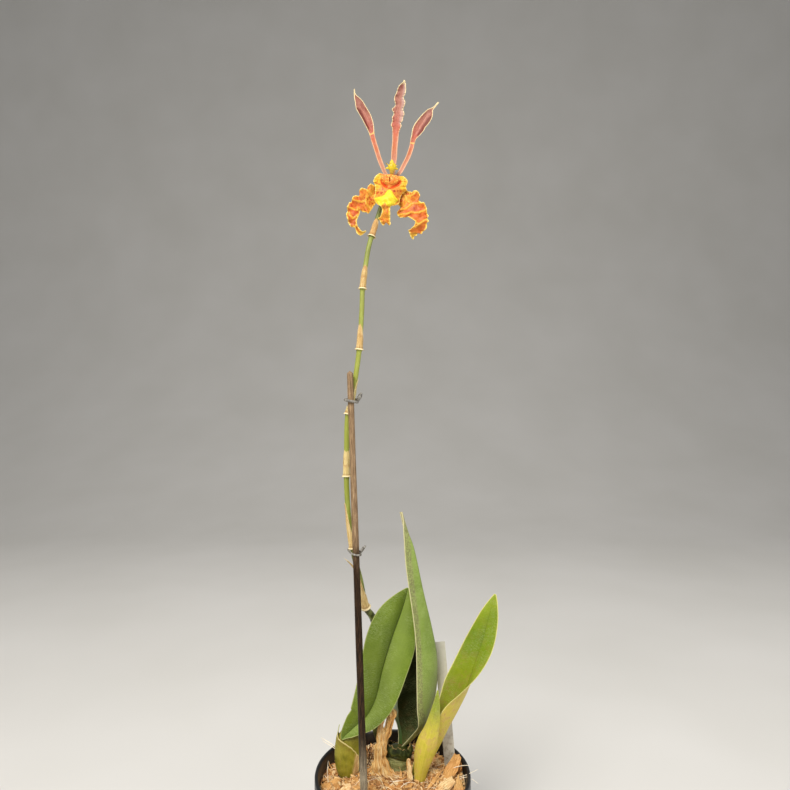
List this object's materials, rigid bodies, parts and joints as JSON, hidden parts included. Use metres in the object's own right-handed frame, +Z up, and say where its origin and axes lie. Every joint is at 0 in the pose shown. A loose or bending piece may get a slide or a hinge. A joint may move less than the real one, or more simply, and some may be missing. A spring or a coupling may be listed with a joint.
{
  "type": "potted orchid",
  "caption": "Potted butterfly orchid in bloom: leathery folded leaves, a jointed spike tied to a wooden stake, and an orange and yellow flower with slender upright petals.",
  "frame": {"origin": "centre of the pot's flat underside, which rests on the surface", "axes": "+Z up along the pot's axis, -Y towards the picture's camera, +X to the camera's right"},
  "size_m": [0.1651, 0.14, 0.7372],
  "materials": {
    "pot": "moulded black plastic with a soft sheen",
    "medium": "loose coconut husk chips and coir fibre",
    "roots": "pale spongy root skin",
    "pseudobulb": "smooth waxy skin with shallow wrinkles",
    "leaf": "leathery, satin, with a fine cross hatching",
    "leaf_underside": "leathery, speckled, matte",
    "leaf_young": "leathery, satin, mottled at its foot",
    "leafy_sheath": "thin leafy sheath, pale and dry at its margin",
    "dry_sheath": "dry, papery and fibrous",
    "stem": "smooth green stem",
    "stake": "round stained wooden stick, worn",
    "tie": "wire in a soft grey-black coat",
    "label": "thin white plastic, bare",
    "flower_mauve": "soft petal, salmon at its stalk, dusky above",
    "flower_orange": "soft petal, orange blotches on yellow",
    "flower_yellow": "soft petal, yellow"
  },
  "bodies": {
    "root": {"pot": "pot", "potting_medium": "medium", "rhizome_roots": "roots", "pseudobulb_left": "pseudobulb", "pseudobulb_center": "pseudobulb", "leaf_left": "leaf", "leaf_center": "leaf_underside", "leaf_right": "leaf_young", "sheath_left": "leafy_sheath", "sheath_right": "leafy_sheath", "sheath_dry": "dry_sheath", "old_sheath": "dry_sheath", "flower_spike": "stem", "bract_1": "dry_sheath", "bract_2": "dry_sheath", "bract_3": "dry_sheath", "bract_4": "dry_sheath", "bract_5": "dry_sheath", "bract_6": "dry_sheath", "bract_7": "dry_sheath", "bract_8": "dry_sheath", "stake": "stake", "tie_upper": "tie", "tie_lower": "tie", "plant_label": "label", "column": "flower_yellow", "dorsal_sepal": "flower_mauve", "petal_left": "flower_mauve", "petal_right": "flower_mauve", "lateral_sepal_left": "flower_orange", "lateral_sepal_right": "flower_orange", "lip": "flower_orange"}
  },
  "joints": []
}
